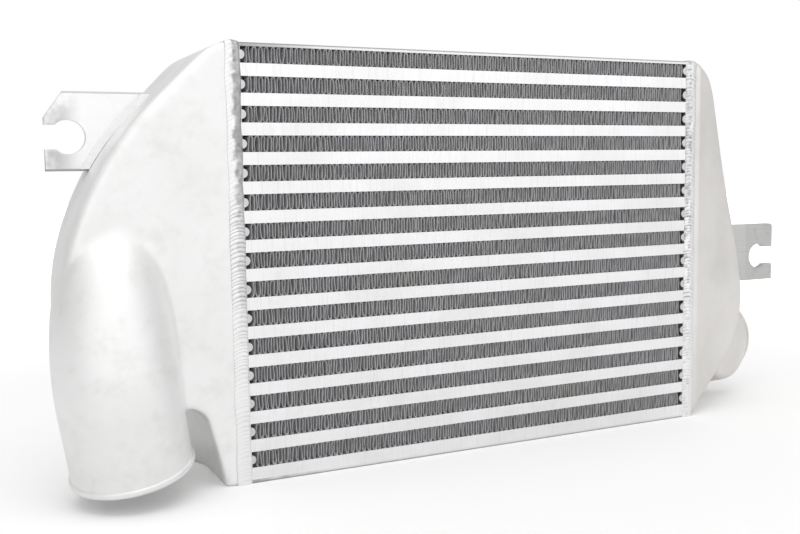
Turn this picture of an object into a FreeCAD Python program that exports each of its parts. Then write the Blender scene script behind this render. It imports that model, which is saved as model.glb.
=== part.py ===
# Charge air cooler: a brazed bar-and-plate core between two cast end tanks
# Millimetres, +Z up, core width along X, front face towards -Y
# Origin on the floor, under the middle of the core
import FreeCAD, Part
import math
import os
import Sketcher

from FreeCAD import Vector, Placement, Rotation

doc = FreeCAD.newDocument("intercooler")

# Driving dimensions
sheet = doc.addObject("Spreadsheet::Sheet", "Sizes")
DIMENSIONS = [
    ("core_length", 326.0),         # ends of the bars and plates
    ("core_depth", 90.0),
    ("side_plate", 2.0),
    ("row_count", 15),
    ("passage_height", 6.35),       # inside height of a charge air passage
    ("parting_sheet", 0.4),
    ("closing_bar", 5.0),           # front and rear bars of a charge air passage
    ("fin_height", 9.25),
    ("fin_fold", 3.5),              # one whole fold, up and down
    ("fin_gauge", 0.25),
    ("fin_side_gap", 0.4),          # between the last fold and the nose of the end bar
    ("end_bar", 4.1),               # body of the bar that closes a fin row
    ("end_bar_nose", 2.6),          # radius of the bar's rounded nose
    ("inner_fold", 5.0),
    ("inner_gauge", 0.3),
    ("inner_set_back", 6.0),        # inner fins stop short of the core's ends
    ("root_gap", 2.0),              # between core and tank, filled by the weld
    ("bead_width", 9.5),
    ("bead_rise", 1.3),
    ("tank_wall", 4.0),
    ("tank_edge_radius", 8.0),
    ("outlet_blend", 4.0),          # soft corner where the outlet leaves the front wall
    ("left_reach", 92.5),           # flange to the widest place of the left tank
    ("left_wide_at", 120.0),        # height of that place
    ("left_back_slope", 0.42),      # the back wall comes forward by this for each mm outwards
    ("flange_length", 7.0),         # straight front and back walls beside the weld
    ("outlet_radius", 33.0),
    ("outlet_side", 224.4),         # mouth centre, left of the core's middle
    ("outlet_front", 36.6),         # mouth centre, in front of the core's middle
    ("outlet_height", 15.8),
    ("outlet_straight", 27.0),
    ("outlet_lean_side", 9.3),      # degrees outwards going up
    ("outlet_lean_front", 8.0),     # degrees forwards going up
    ("elbow_radius", 118.0),
    ("elbow_turn", 52.0),
    ("elbow_heading", 22.0),        # degrees from straight back towards the core
    ("elbow_taper", 5.0),           # the duct's radius shrinks by this on its way into the body
    ("elbow_inside", 0.6),          # the elbow's inner end stays this far inside the body's outline
    ("lip_rise", 1.2),
    ("lip_length", 3.6),
    ("pocket_height", 48.0),        # hose room beside the outlet
    ("pocket_side", 6.0),           # flange to pocket wall at the floor
    ("pocket_draft", 15.0),
    ("pocket_back", 24.0),
    ("pocket_corner", 25.0),
    ("pocket_arch", 9.0),
    ("left_foot", 13.0),            # flange to the lower end of the left outline
    ("right_reach", 74.5),
    ("right_wide_at", 84.0),
    ("right_front_slope", 0.36),
    ("right_back_slope", 0.4),
    ("inlet_radius", 33.0),
    ("inlet_side", 236.5),
    ("inlet_back", 14.9),
    ("inlet_height", 41.0),
    ("inlet_heading", 20.0),        # degrees from straight back, outwards
    ("inlet_straight", 4.0),
    ("inlet_bend", 42.0),           # radius of the neck's elbow into the body
    ("inlet_turn", 50.0),
    ("inlet_rise", 45.0),           # degrees that the elbow's turn is up from level, towards the core
    ("inlet_taper", 8.0),           # the neck's radius shrinks by this on its way into the body
    ("inlet_shoulder", 11.0),       # neck starts this far behind the front wall
    ("inlet_seat", 22.0),           # length of the neck that a hose can cover
    ("hose_room", 7.0),             # clear of the tank all round that length
    ("bracket_plate", 5.0),
    ("bracket_height", 44.0),
    ("slot_radius", 9.5),
    ("slot_mouth", 13.5),
    ("slot_rise", 18.9),            # slot centre above the plate's lower edge
    ("left_slot_side", 246.5),
    ("left_bracket_low", 180.4),
    ("left_bracket_front", 6.0),
    ("left_tip", 12.5),             # slot centre to the plate's tip
    ("left_plate_length", 72.0),
    ("left_corner_across", 10.5),
    ("left_corner_down", 14.5),
    ("right_slot_side", 272.0),
    ("right_bracket_low", 88.0),
    ("right_bracket_front", 3.0),
    ("right_tip", 14.4),
    ("right_bend_side", 259.0),
    ("right_bend_angle", 18.0),
    ("right_leg", 48.0),
    ("right_corner_radius", 2.5),
    ("bracket_bead", 4.0),
    ("bead_inset", 1.0),            # the beads stop short of the plate's corners
]
for row, (alias, value) in enumerate(DIMENSIONS, start=1):
    sheet.set("A%d" % row, alias)
    sheet.set("B%d" % row, str(value))
    sheet.setAlias("B%d" % row, alias)
doc.recompute()


def size(alias):
    """A driving dimension's value."""
    return float(sheet.get(alias))


row_count = int(size("row_count"))
half_length = size("core_length") / 2
half_depth = size("core_depth") / 2
tube_height = size("passage_height") + 2 * size("parting_sheet")
row_pitch = tube_height + size("fin_height")
core_height = 2 * size("side_plate") + row_count * row_pitch
flange = half_length + size("root_gap")
wall = size("tank_wall")
beyond = 150.0                      # further out than anything on either tank
near_enough = 0.05                  # two places closer than this are one
spare = 1.0                         # cutting shapes run past the part by this
ROW_PITCH = "(Sizes.passage_height + 2 * Sizes.parting_sheet + Sizes.fin_height)"


def piece(name, shape, base=Vector(0, 0, 0)):
    """A sub-part whose shape is worked out here from the sheet."""
    item = doc.addObject("Part::Feature", name)
    item.Label = name
    item.Shape = shape
    item.Placement = Placement(base, Rotation())
    return item


def block(name, length, width, height, x, y, z):
    """A box whose sizes and corner are expressions on the sheet."""
    item = doc.addObject("Part::Box", name)
    item.setExpression("Length", length)
    item.setExpression("Width", width)
    item.setExpression("Height", height)
    item.setExpression("Placement.Base.x", x)
    item.setExpression("Placement.Base.y", y)
    item.setExpression("Placement.Base.z", z)
    return item


# Side plates
# Flat sheets that close the core below and above
def side_plate(name, z):
    item = block(name, "Sizes.core_length", "Sizes.core_depth", "Sizes.side_plate",
                 "-Sizes.core_length / 2", "-Sizes.core_depth / 2", z)
    item.Label = name
    return item


nodes = [
    side_plate("bottom_side_plate", "0"),
    side_plate("top_side_plate", "Sizes.side_plate + Sizes.row_count * " + ROW_PITCH),
]


# Charge air passages
# Two parting sheets brazed onto a front and a rear bar, open at both ends
def centred_rectangle(sketch, prefix, width, height):
    """A rectangle about the sketch's origin with its two sizes bound to the sheet."""
    first = sketch.GeometryCount
    half_h = tube_height / 2
    corners = [(-half_depth, -half_h), (half_depth, -half_h), (half_depth, half_h), (-half_depth, half_h)]
    for k in range(4):
        start = Vector(corners[k][0], corners[k][1], 0)
        end = Vector(corners[(k + 1) % 4][0], corners[(k + 1) % 4][1], 0)
        sketch.addGeometry(Part.LineSegment(start, end), False)
    for k in range(4):
        sketch.addConstraint(Sketcher.Constraint("Coincident", first + k, 2, first + (k + 1) % 4, 1))
    for k in (0, 2):
        sketch.addConstraint(Sketcher.Constraint("Horizontal", first + k))
    for k in (1, 3):
        sketch.addConstraint(Sketcher.Constraint("Vertical", first + k))
    sketch.addConstraint(Sketcher.Constraint("Symmetric", first, 1, first + 2, 1, -1, 1))
    for kind, edge, label, drawn, expression in (
        ("DistanceX", first, prefix + "Width", 2 * half_depth, width),
        ("DistanceY", first + 1, prefix + "Height", tube_height, height),
    ):
        number = sketch.addConstraint(Sketcher.Constraint(kind, edge, 1, edge, 2, drawn))
        sketch.renameConstraint(number, label)
        sketch.setExpression("Constraints." + label, expression)


def origin_plane(body, role):
    """One of a body's own origin planes."""
    return [feature for feature in body.Origin.OriginFeatures if feature.Role == role][0]


def charge_tube(number):
    name = "charge_tube_%02d" % number
    body = doc.addObject("PartDesign::Body", name)
    body.Label = name
    section = body.newObject("Sketcher::SketchObject", name + "_section")
    section.AttachmentSupport = [(origin_plane(body, "YZ_Plane"), "")]
    section.MapMode = "FlatFace"
    centred_rectangle(section, "Outer", "Sizes.core_depth", "Sizes.passage_height + 2 * Sizes.parting_sheet")
    centred_rectangle(section, "Inner", "Sizes.core_depth - 2 * Sizes.closing_bar", "Sizes.passage_height")
    pad = body.newObject("PartDesign::Pad", name + "_run")
    pad.Profile = section
    pad.SideType = "Symmetric"
    pad.setExpression("Length", "Sizes.core_length")
    body.setExpression(
        "Placement.Base.z",
        "Sizes.side_plate + Sizes.passage_height / 2 + Sizes.parting_sheet + %d * %s" % (number - 1, ROW_PITCH),
    )
    return body


for number in range(1, row_count + 1):
    nodes.append(charge_tube(number))


# Folded strips
# One sheet folded square, up and down; half a fold is one leg and one crest
def folded_strip(width, height, fold, gauge, run, across, along):
    """A square-folded sheet; its folds cross the first direction and run in the second."""
    count = int(width / fold)
    start = -count * fold / 2
    low = gauge / 2
    high = height - gauge / 2
    half = gauge / 2
    upper = []
    lower = []
    for k in range(count):
        rise = start + k * fold + fold / 4
        fall = rise + fold / 2
        upper += [(rise - half, low + half), (rise - half, high + half)]
        upper += [(fall + half, high + half), (fall + half, low + half)]
        lower += [(rise + half, low - half), (rise + half, high - half)]
        lower += [(fall - half, high - half), (fall - half, low - half)]
    upper = [(start, low + half)] + upper + [(-start, low + half)]
    lower = [(start, low - half)] + lower + [(-start, low - half)]
    corners = [across * place + Vector(0, 0, up) - along * (run / 2) for place, up in upper + lower[::-1]]
    return Part.Face(Part.makePolygon(corners + corners[:1])).extrude(along * run)


fin_half_width = half_length - size("end_bar") - size("end_bar_nose") - size("fin_side_gap")
ambient_fin = folded_strip(2 * fin_half_width, size("fin_height"), size("fin_fold"), size("fin_gauge"),
                           size("core_depth"), Vector(1, 0, 0), Vector(0, 1, 0))
inner_fin = folded_strip(size("core_depth") - 2 * size("closing_bar"), size("passage_height"),
                         size("inner_fold"), size("inner_gauge"),
                         size("core_length") - 2 * size("inner_set_back"),
                         Vector(0, 1, 0), Vector(1, 0, 0))

for number in range(1, row_count + 1):
    tube_base = size("side_plate") + (number - 1) * row_pitch
    nodes.append(piece("ambient_fin_%02d" % number, ambient_fin, Vector(0, 0, tube_base + tube_height)))
    nodes.append(piece("turbulator_%02d" % number, inner_fin,
                       Vector(0, 0, tube_base + size("parting_sheet"))))


# End bars of the fin rows
# Drawn bars with a rounded nose towards the fins, running from the front to the rear face
def end_bar_set(name, side):
    """One bar for each fin row; side is -1 on the left and 1 on the right."""
    bars = []
    nose_radius = size("end_bar_nose")
    for number in range(row_count):
        base = size("side_plate") + number * row_pitch + tube_height
        middle = base + size("fin_height") / 2
        inner_face = half_length - size("end_bar")
        nose_tip = Vector(side * (inner_face - nose_radius), -half_depth, middle)
        outer_low = Vector(side * half_length, -half_depth, base)
        outer_high = Vector(side * half_length, -half_depth, base + size("fin_height"))
        inner_low = Vector(side * inner_face, -half_depth, base)
        inner_high = Vector(side * inner_face, -half_depth, base + size("fin_height"))
        nose_low = Vector(side * inner_face, -half_depth, middle - nose_radius)
        nose_high = Vector(side * inner_face, -half_depth, middle + nose_radius)
        edges = [
            Part.LineSegment(outer_high, outer_low).toShape(),
            Part.LineSegment(outer_low, inner_low).toShape(),
            Part.LineSegment(inner_low, nose_low).toShape(),
            Part.Arc(nose_low, nose_tip, nose_high).toShape(),
            Part.LineSegment(nose_high, inner_high).toShape(),
            Part.LineSegment(inner_high, outer_high).toShape(),
        ]
        bars.append(Part.Face(Part.Wire(edges)).extrude(Vector(0, 2 * half_depth, 0)))
    return piece(name, Part.makeCompound(bars))


nodes.append(end_bar_set("left_end_bars", -1))
nodes.append(end_bar_set("right_end_bars", 1))


# Tank outlines
# Each point is (distance out from the flange, height); a smooth curve runs through them
def level_start(places, side):
    """A smooth curve through the places that leaves the first one level."""
    curve = Part.BSplineCurve()
    flags = [True] + [False] * (len(places) - 1)
    curve.interpolate(Points=places, Tangents=[Vector(side, 0, 0)] * len(places), TangentFlags=flags)
    return curve


def tank_outline(side, points, inset):
    """The outline as a face in the XZ plane; an inset one runs out through the flange."""
    places = [Vector(side * (flange + out), 0, height) for out, height in points]
    curve = level_start(places, side)
    if inset != 0:
        moved = [places[0] - Vector(0, 0, inset)]
        for place in places[1:-1]:
            along = curve.tangent(curve.parameter(place))[0]
            moved.append(place + Vector(along.z, 0, -along.x) * (side * inset))
        foot_out = max(points[-1][0] - inset, -inset)
        moved.append(Vector(side * (flange + foot_out), 0, points[-1][1] + inset))
        places = moved
        curve = level_start(places, side)
    open_end = side * (flange - inset)
    corners = [places[-1], Vector(open_end, 0, places[-1].z), Vector(open_end, 0, places[0].z), places[0]]
    edges = [curve.toShape()]
    for start, end in zip(corners, corners[1:]):
        if start.distanceToPoint(end) > near_enough:
            edges.append(Part.LineSegment(start, end).toShape())
    return Part.Face(Part.Wire(edges))


def tank_plan(side, front, front_slope, back_slope, inset):
    """The plan as an upright prism: straight beside the flange, then sloping front and back walls."""
    straight = size("flange_length")
    front_shift = inset * math.hypot(1, front_slope)
    back_shift = inset * math.hypot(1, back_slope)
    points = [
        (-inset, -front + inset),
        (straight, -front + front_shift),
        (beyond, -front + front_slope * (beyond - straight) + front_shift),
        (beyond, front - back_slope * (beyond - straight) - back_shift),
        (straight, front - back_shift),
        (-inset, front - inset),
    ]
    corners = [Vector(side * (flange + out), y, -spare) for out, y in points]
    return Part.Face(Part.makePolygon(corners + corners[:1])).extrude(Vector(0, 0, core_height + 2 * spare))


def tank_body(side, points, front_slope, back_slope, inset):
    """What the outline and the plan have in common."""
    outline = tank_outline(side, points, inset)
    outline.translate(Vector(0, -half_depth, 0))
    prism = outline.extrude(Vector(0, 2 * half_depth, 0))
    return prism.common(tank_plan(side, half_depth, front_slope, back_slope, inset)).removeSplitter()


def rim_lip(mouth, inwards, radius):
    """The rolled lip at the end of a hose port; its corners are rounded nearly to the tube."""
    share = 0.9
    rounding = share * size("lip_rise")
    ring = Part.makeCylinder(radius + size("lip_rise"), size("lip_length"), mouth, inwards)
    return ring.makeFillet(rounding, [edge for edge in ring.Edges if edge.Closed])


# Left tank
# One casting: a deep body with a hose outlet that bends out of its front wall and points down
left_points = [
    (0, core_height),
    (25.0, core_height - 15.4),
    (56.0, core_height - 47.0),
    (79.0, core_height - 83.0),
    (size("left_reach"), size("left_wide_at")),
    (88.0, 76.0),
    (47.0, 25.0),
    (size("left_foot"), 0),
]


def hose_pocket(grow):
    """Room for a hose and clamp beside the outlet: a drafted block with a rounded arch."""
    ceiling = size("pocket_height") + grow
    side_low = -flange - size("pocket_side") + grow
    side_high = side_low - ceiling * math.tan(math.radians(size("pocket_draft")))
    far = -flange - beyond
    front = -half_depth - beyond
    back = size("pocket_back") + grow
    corners = [Vector(far, front, -spare), Vector(side_low, front, -spare),
               Vector(side_high, front, ceiling), Vector(far, front, ceiling)]
    block_shape = Part.Face(Part.makePolygon(corners + corners[:1])).extrude(Vector(0, back - front, 0))
    upright = [edge for edge in block_shape.Edges
               if abs(edge.CenterOfMass.y - back) < near_enough
               and abs(edge.CenterOfMass.x - (side_low + side_high) / 2) < spare]
    rounded = block_shape.makeFillet(size("pocket_corner") + grow, upright)
    arch = [edge for edge in rounded.Edges
            if all(abs(vertex.Z - ceiling) < near_enough for vertex in edge.Vertexes)
            and edge.CenterOfMass.y > front + spare and edge.CenterOfMass.x > far + spare]
    return rounded.makeFillet(size("pocket_arch") + grow, arch)


def bent_duct(mouth, inwards, straight, elbow, radius, past_mouth):
    """A round duct: straight in from its mouth, then an elbow on which it narrows."""
    side, bend, turn, taper = elbow
    towards = side - inwards * side.dot(inwards)
    towards.normalize()
    elbow_start = mouth + inwards * straight

    def on_elbow(angle):
        return elbow_start + inwards * (bend * math.sin(angle)) + towards * (bend * (1 - math.cos(angle)))

    neck = Part.makeCylinder(radius, past_mouth + straight, mouth - inwards * past_mouth, inwards)
    bent = Part.BRepOffsetAPI.MakePipeShell(
        Part.Wire([Part.Arc(elbow_start, on_elbow(turn / 2), on_elbow(turn)).toShape()]))
    end_heading = inwards * math.cos(turn) + towards * math.sin(turn)
    bent.add(Part.Wire([Part.makeCircle(radius, elbow_start, inwards)]))
    bent.add(Part.Wire([Part.makeCircle(radius - taper, on_elbow(turn), end_heading)]))
    bent.build()
    bent.makeSolid()
    return neck.fuse(bent.shape())


outlet_mouth = Vector(-size("outlet_side"), -size("outlet_front"), size("outlet_height"))
outlet_up = Vector(-math.tan(math.radians(size("outlet_lean_side"))),
                   -math.tan(math.radians(size("outlet_lean_front"))), 1)
outlet_up.normalize()
elbow_heading = math.radians(size("elbow_heading"))
outlet_elbow = (Vector(math.sin(elbow_heading), math.cos(elbow_heading), 0), size("elbow_radius"),
                math.radians(size("elbow_turn")), size("elbow_taper"))


# How far out the outlet may be lower down; points are (beyond the widest place, height above it)
outlet_limit = [(-1.3, 6.0), (4.0, -14.0), (8.5, -42.0), (9.5, -80.0), (9.5, -165.0)]


def outlet_room(inset):
    """Where the outlet may be: within the body's outline above, and behind its own limit lower down."""
    clear = size("elbow_inside")
    reach = size("left_reach")
    wide_at = size("left_wide_at")
    points = [(out - clear, height) for out, height in left_points if height > wide_at]
    points += [(reach + out, wide_at + above) for out, above in outlet_limit]
    outline = tank_outline(-1, points, inset)
    outline.translate(Vector(0, -half_depth - beyond, 0))
    return outline.extrude(Vector(0, 2 * (half_depth + beyond), 0))


def outlet_duct(radius, past_mouth, inset):
    """The outlet's duct, kept within its room."""
    duct = bent_duct(outlet_mouth, outlet_up, size("outlet_straight"), outlet_elbow, radius, past_mouth)
    return duct.common(outlet_room(inset))


def round_outer_edges(shape, radius):
    """Rounds the long edges between the outline and the front and back walls."""
    long_edges = [edge for edge in shape.Edges
                  if edge.Length > core_height / 2 and edge.Curve.TypeId != "Part::GeomLine"]
    return shape.makeFillet(radius, long_edges)


left_filled = round_outer_edges(tank_body(-1, left_points, 0.0, size("left_back_slope"), 0),
                                size("tank_edge_radius"))
left_filled = left_filled.cut(hose_pocket(0))
left_filled = left_filled.fuse(outlet_duct(size("outlet_radius"), 0, 0))
where_outlet_leaves = [
    edge for edge in left_filled.Edges
    if edge.Length > 3 * size("outlet_radius")
    and all(abs(vertex.Y + half_depth) < near_enough for vertex in edge.Vertexes)
    and any(abs(vertex.Z - size("pocket_height")) < near_enough for vertex in edge.Vertexes)
]
left_filled = left_filled.makeFillet(size("outlet_blend"), where_outlet_leaves)
left_filled = left_filled.fuse(rim_lip(outlet_mouth, outlet_up, size("outlet_radius")))
left_cavity = tank_body(-1, left_points, 0.0, size("left_back_slope"), wall).cut(hose_pocket(wall))
left_cavity = left_cavity.fuse(outlet_duct(size("outlet_radius") - wall, wall, wall))
nodes.append(piece("left_tank", left_filled.copy().cut(left_cavity).removeSplitter()))


# Right tank
# One casting: narrower, its front wall slopes back, and its hose inlet leaves at the rear
right_points = [
    (0, core_height),
    (19.0, core_height - 6.5),
    (31.0, core_height - 30.0),
    (49.5, core_height - 90.0),
    (size("right_reach") - 4.0, size("right_wide_at") + 19.0),
    (size("right_reach") - 1.5, size("right_wide_at") - 18.0),
    (49.0, 33.0),
    (21.0, 13.0),
    (0, 0),
]
inlet_mouth = Vector(size("inlet_side"), size("inlet_back"), size("inlet_height"))
inlet_heading = math.radians(size("inlet_heading"))
inlet_inwards = Vector(-math.sin(inlet_heading), -math.cos(inlet_heading), 0)
inlet_rise = math.radians(size("inlet_rise"))
inlet_elbow = (Vector(-math.cos(inlet_rise), 0, math.sin(inlet_rise)), size("inlet_bend"),
               math.radians(size("inlet_turn")), size("inlet_taper"))


def inlet_duct(radius, past_mouth, shoulder):
    """A round neck that starts behind the sloping front wall; nothing trims it at the rear."""
    neck = bent_duct(inlet_mouth, inlet_inwards, size("inlet_straight"), inlet_elbow, radius, past_mouth)
    opening_out = -1.0
    return neck.common(tank_plan(1, half_depth - shoulder, size("right_front_slope"), opening_out, 0))


def hose_recess(grow):
    """Room for a hose and clamp about the neck: a round recess in the tank's rear."""
    floor = inlet_mouth + inlet_inwards * (size("inlet_seat") + grow)
    return Part.makeCylinder(size("inlet_radius") + size("hose_room") + grow, beyond, floor, -inlet_inwards)


right_filled = tank_body(1, right_points, size("right_front_slope"), size("right_back_slope"), 0)
right_filled = round_outer_edges(right_filled, size("tank_edge_radius")).cut(hose_recess(0))
right_filled = right_filled.fuse(inlet_duct(size("inlet_radius"), 0, size("inlet_shoulder")))
right_filled = right_filled.fuse(rim_lip(inlet_mouth, inlet_inwards, size("inlet_radius")))
right_inside = tank_body(1, right_points, size("right_front_slope"), size("right_back_slope"), wall)
inlet_bore = Part.makeCylinder(size("inlet_radius") - wall, beyond, inlet_mouth, inlet_inwards)
right_cavity = right_inside.cut(hose_recess(wall)).fuse([
    right_inside.common(inlet_bore),
    inlet_duct(size("inlet_radius") - wall, wall, size("inlet_shoulder") + wall),
])
nodes.append(piece("right_tank", right_filled.copy().cut(right_cavity).removeSplitter()))

# The tanks without their hollows trim the brackets to the outer walls
left_outside = piece("left_tank_outside", left_filled)
right_outside = piece("right_tank_outside", right_filled)


# Tank welds
# A root run fills the gap all round; a crowned cap lies over it in front, above and behind
def tank_weld(name, side):
    gap = size("root_gap")
    near = half_length if side > 0 else -flange
    ring = Part.makeBox(gap, 2 * half_depth, core_height, Vector(near, -half_depth, 0))
    hole = Part.makeBox(gap, 2 * (half_depth - wall), core_height - 2 * wall,
                        Vector(near, wall - half_depth, wall))
    middle = side * (half_length + gap / 2)
    half_bead = size("bead_width") / 2
    path = Part.makePolygon([
        Vector(middle, -half_depth, 0),
        Vector(middle, -half_depth, core_height),
        Vector(middle, half_depth, core_height),
        Vector(middle, half_depth, 0),
    ])
    left = Vector(middle - half_bead, -half_depth, 0)
    crown = Vector(middle, -half_depth - size("bead_rise"), 0)
    right = Vector(middle + half_bead, -half_depth, 0)
    profile = Part.Wire([Part.Arc(left, crown, right).toShape(), Part.LineSegment(right, left).toShape()])
    sweep = Part.BRepOffsetAPI.MakePipeShell(path)
    sweep.setTransitionMode(1)
    sweep.add(profile)
    sweep.build()
    sweep.makeSolid()
    return piece(name, ring.cut(hole).fuse(sweep.shape()).removeSplitter())


nodes.append(tank_weld("left_tank_weld", -1))
nodes.append(tank_weld("right_tank_weld", 1))


# Brackets
# Cut from plate, each with an open slot for a rubber grommet, and welded to the tank's outer wall
def cut(name, base, tool):
    item = doc.addObject("Part::Cut", name)
    item.Base = base
    item.Tool = tool
    return item


def fused(name, *parts):
    item = doc.addObject("Part::MultiFuse", name)
    item.Shapes = list(parts)
    item.Refine = True
    return item


def slot_tool(name, side, slot_side, low, tip, front):
    """The round end of a slot and its mouth; both run right through the plate."""
    height = low + " + Sizes.slot_rise"
    round_end = doc.addObject("Part::Cylinder", name + "_round")
    round_end.Placement = Placement(Vector(0, 0, 0), Rotation(Vector(1, 0, 0), -90))
    round_end.setExpression("Radius", "Sizes.slot_radius")
    round_end.setExpression("Height", "3 * Sizes.bracket_plate")
    round_end.setExpression("Placement.Base.x", "%d * %s" % (side, slot_side))
    round_end.setExpression("Placement.Base.y", "-%s - Sizes.bracket_plate" % front)
    round_end.setExpression("Placement.Base.z", height)
    start = "-%s - 2 * %s" % (slot_side, tip) if side < 0 else slot_side
    mouth = block(name + "_mouth", "2 * " + tip, "3 * Sizes.bracket_plate", "Sizes.slot_mouth",
                  start, "-%s - Sizes.bracket_plate" % front, height + " - Sizes.slot_mouth / 2")
    return fused(name, round_end, mouth)


def upper_outer_edge(box, side):
    """The number of the edge across the plate at its upper outer corner."""
    far = max(side * vertex.X for vertex in box.Shape.Vertexes)
    high = max(vertex.Z for vertex in box.Shape.Vertexes)
    for number, edge in enumerate(box.Shape.Edges, start=1):
        middle = edge.CenterOfMass
        if abs(side * middle.x - far) < near_enough and abs(middle.z - high) < near_enough:
            return number


left_plate = block("left_bracket_plate", "Sizes.left_plate_length", "Sizes.bracket_plate",
                   "Sizes.bracket_height", "-Sizes.left_slot_side - Sizes.left_tip",
                   "-Sizes.left_bracket_front", "Sizes.left_bracket_low")
doc.recompute()
left_corner = doc.addObject("Part::Chamfer", "left_bracket_corner")
left_corner.Base = left_plate
left_corner.Edges = [(upper_outer_edge(left_plate, -1), size("left_corner_down"), size("left_corner_across"))]
left_slot = slot_tool("left_bracket_slot", -1, "Sizes.left_slot_side", "Sizes.left_bracket_low",
                      "Sizes.left_tip", "Sizes.left_bracket_front")
left_bracket = cut("left_bracket", cut("left_bracket_slotted", left_corner, left_slot), left_outside)
left_bracket.Label = "left_bracket"

right_plate = block("right_bracket_plate",
                    "Sizes.right_slot_side + Sizes.right_tip - Sizes.right_bend_side",
                    "Sizes.bracket_plate", "Sizes.bracket_height", "Sizes.right_bend_side",
                    "-Sizes.right_bracket_front", "Sizes.right_bracket_low")
right_leg = block("right_bracket_leg", "Sizes.right_leg", "Sizes.bracket_plate", "Sizes.bracket_height",
                  "Sizes.right_bend_side + Sizes.bracket_plate * sin(Sizes.right_bend_angle * 1 deg)",
                  "Sizes.bracket_plate * cos(Sizes.right_bend_angle * 1 deg) - Sizes.right_bracket_front",
                  "Sizes.right_bracket_low")
right_leg.Placement = Placement(right_leg.Placement.Base,
                                Rotation(Vector(0, 0, 1), 180 - size("right_bend_angle")))
right_leg.setExpression("Placement.Rotation.Angle", "180 deg - Sizes.right_bend_angle * 1 deg")
doc.recompute()
right_corner = doc.addObject("Part::Fillet", "right_bracket_corner")
right_corner.Base = right_plate
corner_radius = size("right_corner_radius")
right_corner.Edges = [(upper_outer_edge(right_plate, 1), corner_radius, corner_radius)]
right_bent = fused("right_bracket_bent", right_corner, right_leg)
right_slot = slot_tool("right_bracket_slot", 1, "Sizes.right_slot_side", "Sizes.right_bracket_low",
                       "Sizes.right_tip", "Sizes.right_bracket_front")
right_bracket = cut("right_bracket", cut("right_bracket_slotted", right_bent, right_slot), right_outside)
right_bracket.Label = "right_bracket"
doc.recompute()
nodes += [left_bracket, right_bracket]


# Bracket welds
# A bead on each side of a bracket, along the tank's wall
def bracket_weld(name, side, points, front_slope, back_slope, bracket, filled, low):
    bead = size("bracket_bead")
    inset = size("bead_inset")
    box = bracket.Shape.BoundBox
    root = min(side * box.XMin, side * box.XMax)
    grown = tank_outline(side, points, -bead)
    grown.translate(Vector(0, -half_depth, 0))
    band = grown.extrude(Vector(0, 2 * half_depth, 0))
    reach = Part.makeBox(size("left_reach"), box.YMax - box.YMin + 2 * bead,
                         size("bracket_height") - 2 * inset,
                         Vector(-size("left_reach") / 2, box.YMin - bead, low + inset))
    reach.translate(Vector(side * (root + size("left_reach") / 2 - bead), 0, 0))
    return piece(name, band.common(reach).cut(bracket.Shape).cut(filled))


nodes.append(bracket_weld("left_bracket_weld", -1, left_points, 0.0, size("left_back_slope"),
                          left_bracket, left_filled, size("left_bracket_low")))
nodes.append(bracket_weld("right_bracket_weld", 1, right_points, size("right_front_slope"),
                          size("right_back_slope"), right_bracket, right_filled,
                          size("right_bracket_low")))
doc.recompute()

# Every object is whole before anything is written
for item in doc.Objects:
    if "Invalid" in item.State or "Error" in item.State:
        raise RuntimeError("failed: " + item.Name)
os.makedirs("parts", exist_ok=True)
for node in nodes:
    if node.Shape.isNull() or not node.Shape.isValid():
        raise RuntimeError("bad shape: " + node.Label)
    node.Shape.exportStep("parts/" + node.Label + ".step")
    print(node.Label, len(node.Shape.Solids), round(node.Shape.Volume / 1000, 2))
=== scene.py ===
import math

import bpy
import numpy as np
from mathutils import Matrix, Vector


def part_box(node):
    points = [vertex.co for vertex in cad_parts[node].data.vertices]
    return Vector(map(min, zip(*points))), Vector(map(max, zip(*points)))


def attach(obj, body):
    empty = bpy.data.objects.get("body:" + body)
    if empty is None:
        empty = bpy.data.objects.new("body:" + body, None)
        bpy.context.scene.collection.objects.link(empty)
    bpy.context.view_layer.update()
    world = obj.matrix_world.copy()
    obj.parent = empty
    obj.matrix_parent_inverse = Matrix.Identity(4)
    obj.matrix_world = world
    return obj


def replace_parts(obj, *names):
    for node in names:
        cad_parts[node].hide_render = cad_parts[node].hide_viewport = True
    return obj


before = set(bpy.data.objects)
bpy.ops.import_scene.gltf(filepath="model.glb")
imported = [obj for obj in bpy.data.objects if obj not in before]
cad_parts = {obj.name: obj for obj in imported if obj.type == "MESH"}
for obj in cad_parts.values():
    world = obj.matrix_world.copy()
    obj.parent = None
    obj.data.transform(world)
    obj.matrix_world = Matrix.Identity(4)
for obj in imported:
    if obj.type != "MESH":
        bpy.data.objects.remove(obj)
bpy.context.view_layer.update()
MM = 0.001                                     # shapes are worked out in millimetres


# Camera
# It stands in front of the left tank, a little above the middle of the core, and looks past the
# core's left half, so the outlet comes near and the right tank falls away.
camera_place = Vector((-324.34, -586.38, 178.08)) * MM
turned = math.radians(25.8)                    # from straight back towards the right
pitched = math.radians(5.531)                  # down
rolled = math.radians(-0.86)
level_ahead = Vector((math.sin(turned), math.cos(turned), 0))
ahead = level_ahead * math.cos(pitched) - Vector((0, 0, math.sin(pitched)))
level_right = Vector((math.cos(turned), -math.sin(turned), 0))
level_up = level_right.cross(ahead)
right = level_right * math.cos(rolled) + level_up * math.sin(rolled)
up = level_up * math.cos(rolled) - level_right * math.sin(rolled)
camera = bpy.data.objects.new("camera", bpy.data.cameras.new("camera"))
camera.data.lens = 44.87                       # millimetres, as is the sensor's width
camera.data.sensor_width = 36.0
camera.data.clip_start = 10 * MM
camera.matrix_world = Matrix.Translation(camera_place) @ Matrix((right, up, -ahead)).transposed().to_4x4()
bpy.context.scene.collection.objects.link(camera)
bpy.context.scene.camera = camera
bpy.context.scene.view_settings.view_transform = "Standard"


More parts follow.
